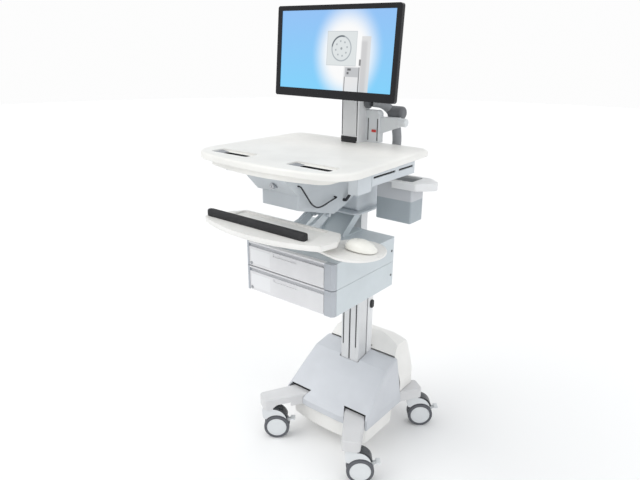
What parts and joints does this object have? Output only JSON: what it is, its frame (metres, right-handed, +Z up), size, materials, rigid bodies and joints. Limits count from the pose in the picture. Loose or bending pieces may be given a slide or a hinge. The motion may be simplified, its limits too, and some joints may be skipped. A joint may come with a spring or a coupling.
{
  "type": "medication cart",
  "caption": "Height-adjustable powered medication cart on braked casters, with lockable drawers, keyboard and mouse trays, side bin and a display on a mast.",
  "frame": {"origin": "on the floor, under the middle of the lift column's width and 44 mm in front of its front face", "axes": "+Z up, front of the cart towards -Y, +X to the right of someone facing the cart"},
  "size_m": [0.6702, 0.7985, 1.6353],
  "materials": {
    "frame_paint": "satin",
    "cover_grey": "satin",
    "white_plastic": "satin",
    "battery": "matte",
    "column_metal": "satin",
    "dark_plastic": "matte",
    "steel": "brushed",
    "worktop": "satin",
    "bin_grey": "satin",
    "drawer_case": "satin",
    "drawer_front": "satin",
    "cable_grey": "matte",
    "bracket_grey": "satin",
    "palm_rest": "matte",
    "mount_paint": "satin",
    "monitor_shell": "satin",
    "monitor_bezel": "gloss",
    "screen": "gloss",
    "caster_housing": "satin",
    "tyre": "matte",
    "hub": "satin"
  },
  "bodies": {
    "base": {"base_frame": "frame_paint", "base_cover": "cover_grey", "power_housing": "white_plastic", "belly_pan": "white_plastic", "battery_pack": "battery", "outer_column": "column_metal", "column_rear_cover": "white_plastic", "column_grommet": "dark_plastic", "lift_cylinder": "steel"},
    "caster_fl_swivel": {"caster_fl_housing": "caster_housing"},
    "caster_fl_wheels": {"caster_fl_tyres": "tyre", "caster_fl_hubs": "hub"},
    "caster_fl_brake": {"caster_fl_pedal": "caster_housing"},
    "caster_fr_swivel": {"caster_fr_housing": "caster_housing"},
    "caster_fr_wheels": {"caster_fr_tyres": "tyre", "caster_fr_hubs": "hub"},
    "caster_fr_brake": {"caster_fr_pedal": "caster_housing"},
    "caster_rl_swivel": {"caster_rl_housing": "caster_housing"},
    "caster_rl_wheels": {"caster_rl_tyres": "tyre", "caster_rl_hubs": "hub"},
    "caster_rl_brake": {"caster_rl_pedal": "caster_housing"},
    "caster_rr_swivel": {"caster_rr_housing": "caster_housing"},
    "caster_rr_wheels": {"caster_rr_tyres": "tyre", "caster_rr_hubs": "hub"},
    "caster_rr_brake": {"caster_rr_pedal": "caster_housing"},
    "head": {"inner_column": "column_metal", "lift_rod": "steel", "column_collar": "cover_grey", "worksurface": "worktop", "head_housing": "cover_grey", "side_rails": "cover_grey", "storage_bin": "bin_grey", "bin_rim": "cover_grey", "drawer_bracket": "frame_paint", "drawer_cases": "drawer_case", "mast": "column_metal", "mast_track": "dark_plastic", "scanner_bracket": "bracket_grey", "side_arm": "bracket_grey", "cables": "cable_grey", "sleeve_clamps": "dark_plastic"},
    "upper_drawer": {"upper_drawer_box": "drawer_case", "upper_drawer_front": "drawer_front"},
    "upper_lock": {"upper_drawer_lock": "steel"},
    "lower_drawer": {"lower_drawer_box": "drawer_case", "lower_drawer_front": "drawer_front"},
    "lower_lock": {"lower_drawer_lock": "steel"},
    "front_lock": {"front_lock": "steel"},
    "keyboard_arm": {"keyboard_arm": "cover_grey"},
    "keyboard_tray": {"keyboard_tray": "white_plastic", "palm_rest": "palm_rest"},
    "mouse_tray": {"mouse_tray": "white_plastic", "mouse": "white_plastic"},
    "monitor_slider": {"monitor_slider": "mount_paint"},
    "monitor_pan_block": {"tilt_bracket": "mount_paint"},
    "monitor_tilt_hub": {"pivot_hub": "mount_paint"},
    "monitor": {"vesa_plate": "mount_paint", "monitor_back": "monitor_shell", "monitor_bezel": "monitor_bezel", "monitor_screen": "screen"}
  },
  "joints": [
    {"name": "caster_fl_swivel_turn", "type": "hinge", "parent": "base", "child": "caster_fl_swivel", "pos_m": [-0.2045, -0.218, 0.14], "axis": [0, 0, 1], "continuous": true},
    {"name": "caster_fl_wheel_spin", "type": "hinge", "parent": "caster_fl_swivel", "child": "caster_fl_wheels", "pos_m": [-0.17771, -0.19707, 0.051], "axis": [0.6157, -0.788, 0], "continuous": true},
    {"name": "caster_fl_brake_press", "type": "hinge", "parent": "caster_fl_swivel", "child": "caster_fl_brake", "pos_m": [-0.14382, -0.17059, 0.073], "axis": [0.6157, -0.788, 0], "range_deg": [-15, 0]},
    {"name": "caster_fr_swivel_turn", "type": "hinge", "parent": "base", "child": "caster_fr_swivel", "pos_m": [0.2045, -0.218, 0.14], "axis": [0, 0, 1], "continuous": true},
    {"name": "caster_fr_wheel_spin", "type": "hinge", "parent": "caster_fr_swivel", "child": "caster_fr_wheels", "pos_m": [0.23129, -0.19707, 0.051], "axis": [0.6157, -0.788, 0], "continuous": true},
    {"name": "caster_fr_brake_press", "type": "hinge", "parent": "caster_fr_swivel", "child": "caster_fr_brake", "pos_m": [0.26518, -0.17059, 0.073], "axis": [0.6157, -0.788, 0], "range_deg": [-15, 0]},
    {"name": "caster_rl_swivel_turn", "type": "hinge", "parent": "base", "child": "caster_rl_swivel", "pos_m": [-0.2045, 0.218, 0.14], "axis": [0, 0, 1], "continuous": true},
    {"name": "caster_rl_wheel_spin", "type": "hinge", "parent": "caster_rl_swivel", "child": "caster_rl_wheels", "pos_m": [-0.17771, 0.23893, 0.051], "axis": [0.6157, -0.788, 0], "continuous": true},
    {"name": "caster_rl_brake_press", "type": "hinge", "parent": "caster_rl_swivel", "child": "caster_rl_brake", "pos_m": [-0.14382, 0.26541, 0.073], "axis": [0.6157, -0.788, 0], "range_deg": [-15, 0]},
    {"name": "caster_rr_swivel_turn", "type": "hinge", "parent": "base", "child": "caster_rr_swivel", "pos_m": [0.2045, 0.218, 0.14], "axis": [0, 0, 1], "continuous": true},
    {"name": "caster_rr_wheel_spin", "type": "hinge", "parent": "caster_rr_swivel", "child": "caster_rr_wheels", "pos_m": [0.23129, 0.23893, 0.051], "axis": [0.6157, -0.788, 0], "continuous": true},
    {"name": "caster_rr_brake_press", "type": "hinge", "parent": "caster_rr_swivel", "child": "caster_rr_brake", "pos_m": [0.26518, 0.26541, 0.073], "axis": [0.6157, -0.788, 0], "range_deg": [-15, 0]},
    {"name": "head_lift", "type": "slide", "parent": "base", "child": "head", "axis": [0, 0, 1], "range_m": [-0.33, 0.07]},
    {"name": "upper_drawer_slide", "type": "slide", "parent": "head", "child": "upper_drawer", "axis": [0, -1, 0], "range_m": [0, 0.28]},
    {"name": "upper_lock_turn", "type": "hinge", "parent": "upper_drawer", "child": "upper_lock", "pos_m": [-0.164, -0.324, 0.796], "axis": [0, -1, 0], "range_deg": [0, 90]},
    {"name": "lower_drawer_slide", "type": "slide", "parent": "head", "child": "lower_drawer", "axis": [0, -1, 0], "range_m": [0, 0.28]},
    {"name": "lower_lock_turn", "type": "hinge", "parent": "lower_drawer", "child": "lower_lock", "pos_m": [-0.164, -0.324, 0.705], "axis": [0, -1, 0], "range_deg": [0, 90]},
    {"name": "front_lock_turn", "type": "hinge", "parent": "head", "child": "front_lock", "pos_m": [0.017, -0.4, 1.112], "axis": [0, -1, 0], "range_deg": [0, 90]},
    {"name": "keyboard_arm_lift", "type": "hinge", "parent": "head", "child": "keyboard_arm", "pos_m": [0, -0.16, 0.97], "axis": [-1, 0, 0], "range_deg": [-8, 6]},
    {"name": "keyboard_tray_tilt", "type": "hinge", "parent": "keyboard_arm", "child": "keyboard_tray", "pos_m": [0, -0.285, 0.944], "axis": [-1, 0, 0], "range_deg": [-15, 10]},
    {"name": "mouse_tray_swing", "type": "hinge", "parent": "keyboard_tray", "child": "mouse_tray", "pos_m": [0.165, -0.365, 0.94], "axis": [0, 0, 1], "range_deg": [-25, 12]},
    {"name": "monitor_height", "type": "slide", "parent": "head", "child": "monitor_slider", "axis": [0, 0, 1], "range_m": [-0.05, 0.02]},
    {"name": "monitor_pan", "type": "hinge", "parent": "monitor_slider", "child": "monitor_pan_block", "pos_m": [0, -0.016, 1.5], "axis": [0, 0, 1], "range_deg": [-35, 35]},
    {"name": "monitor_tilt", "type": "hinge", "parent": "monitor_pan_block", "child": "monitor_tilt_hub", "pos_m": [0, -0.028, 1.5], "axis": [-1, 0, 0], "range_deg": [-5, 12]},
    {"name": "monitor_portrait_turn", "type": "hinge", "parent": "monitor_tilt_hub", "child": "monitor", "pos_m": [0, -0.028, 1.5], "axis": [0, -0.9969, 0.0785], "range_deg": [0, 90]}
  ]
}
